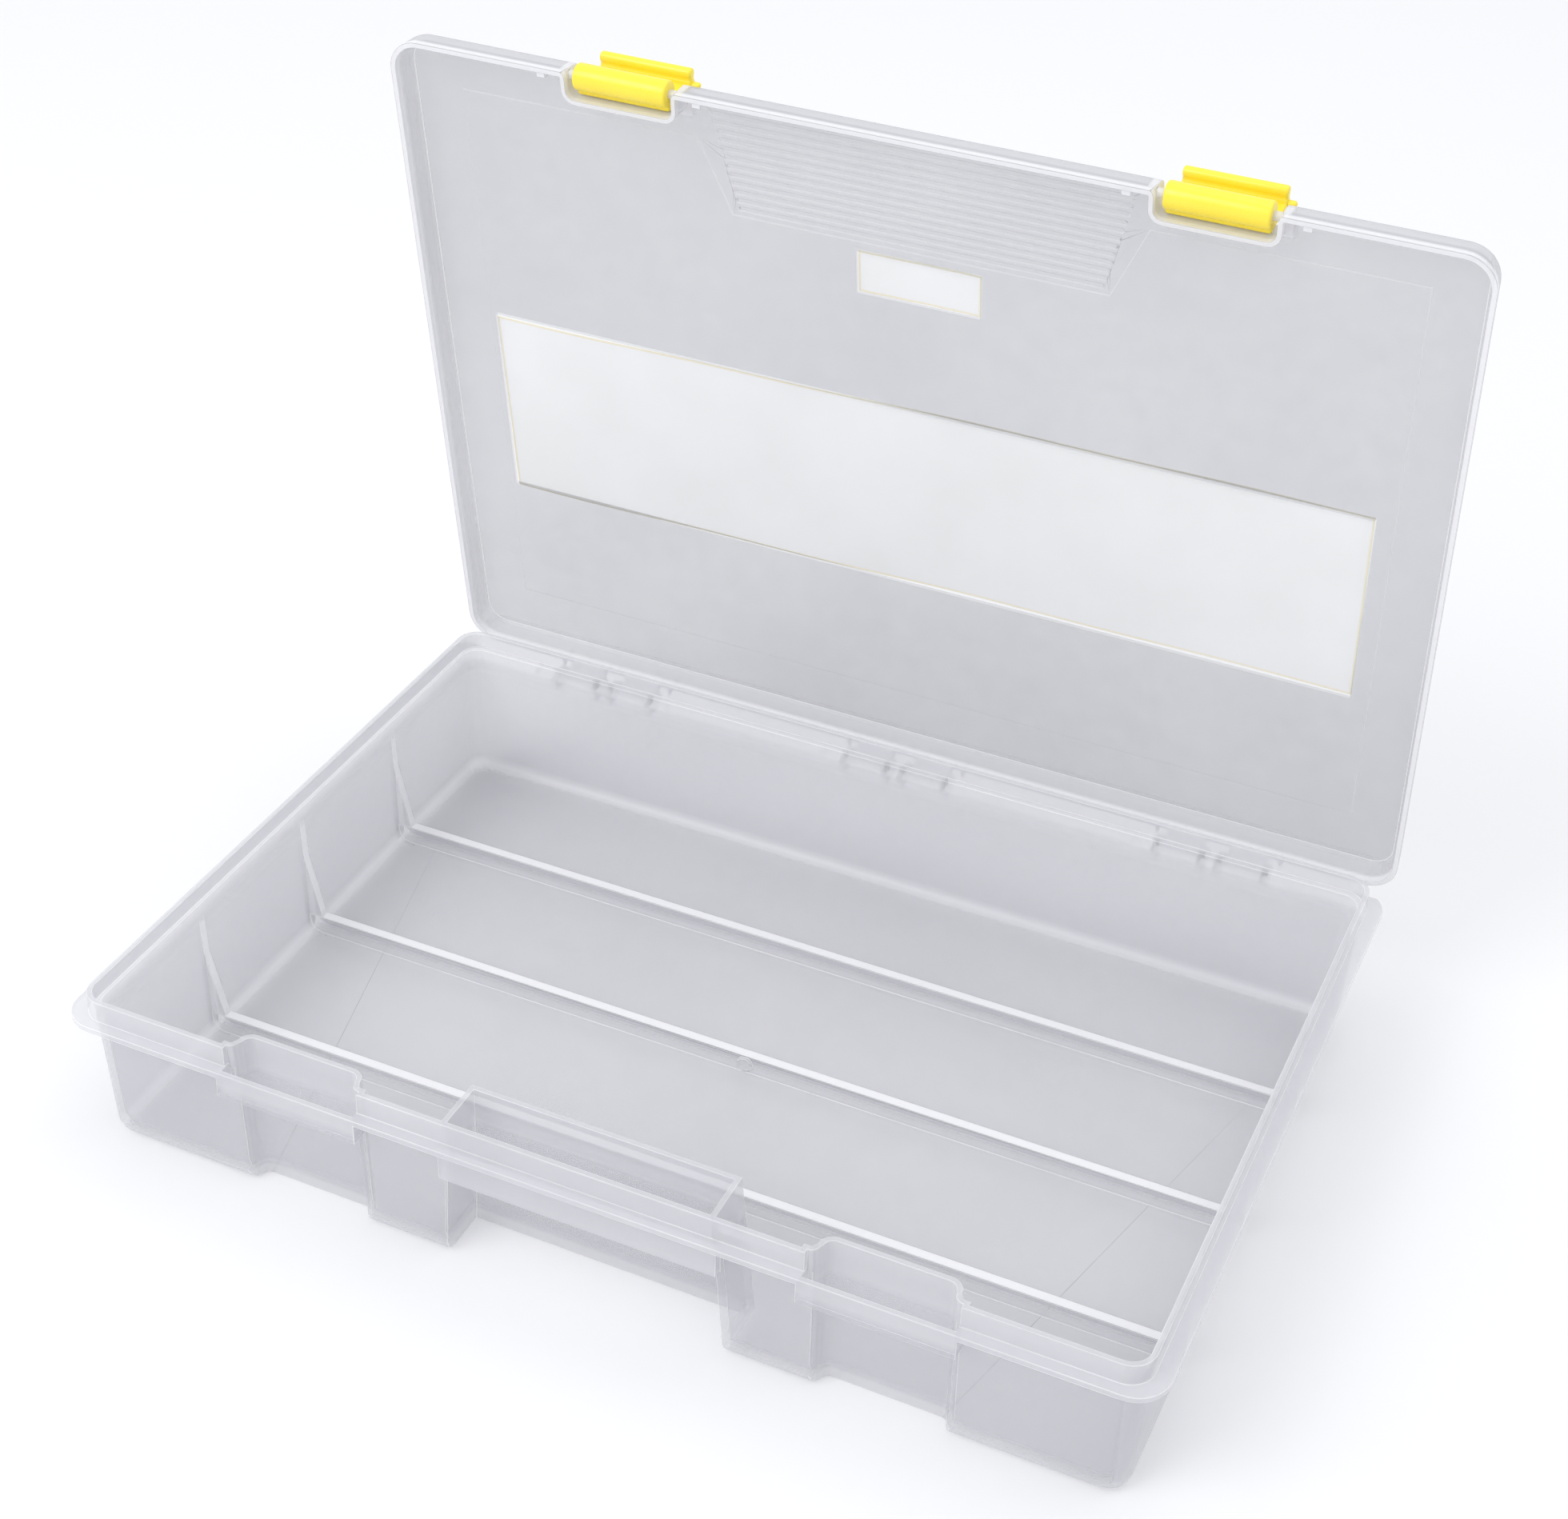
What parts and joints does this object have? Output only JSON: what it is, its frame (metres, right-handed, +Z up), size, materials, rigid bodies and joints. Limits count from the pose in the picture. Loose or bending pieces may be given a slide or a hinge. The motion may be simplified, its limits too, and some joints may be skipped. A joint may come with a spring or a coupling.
{
  "type": "fishing tackle box",
  "caption": "Flat translucent tackle box with long lanes, a hinged lid, snap latches on the front edge and a carrying grip between them.",
  "frame": {"origin": "centre of the underside of the base tray", "axes": "+X along the length, towards the right latch; -Y towards the front with the latches; +Z up"},
  "size_m": [0.36, 0.2669, 0.2969],
  "materials": {
    "clear_shell": "frosted, see-through moulded polypropylene",
    "latch_plastic": "glossy moulded plastic",
    "pin_plastic": "satin moulded plastic",
    "label_paper": "satin film sticker"
  },
  "bodies": {
    "base": {"base_tray": "clear_shell", "hinge_pin_left": "pin_plastic", "hinge_pin_centre": "pin_plastic", "hinge_pin_right": "pin_plastic"},
    "lid": {"lid": "clear_shell", "lid_label": "label_paper", "grip_label": "label_paper"},
    "latch_left": {"latch_left": "latch_plastic"},
    "latch_right": {"latch_right": "latch_plastic"}
  },
  "joints": [
    {"name": "lid_hinge", "type": "hinge", "parent": "base", "child": "lid", "pos_m": [0, 0.1265, 0.045], "axis": [1, 0, 0], "range_deg": [-18.6, 81.4]},
    {"name": "latch_left_swing", "type": "hinge", "parent": "lid", "child": "latch_left", "pos_m": [-0.097, 0.09958, 0.29256], "axis": [1, 0, 0], "range_deg": [0, 180]},
    {"name": "latch_right_swing", "type": "hinge", "parent": "lid", "child": "latch_right", "pos_m": [0.097, 0.09958, 0.29256], "axis": [1, 0, 0], "range_deg": [0, 180]}
  ]
}
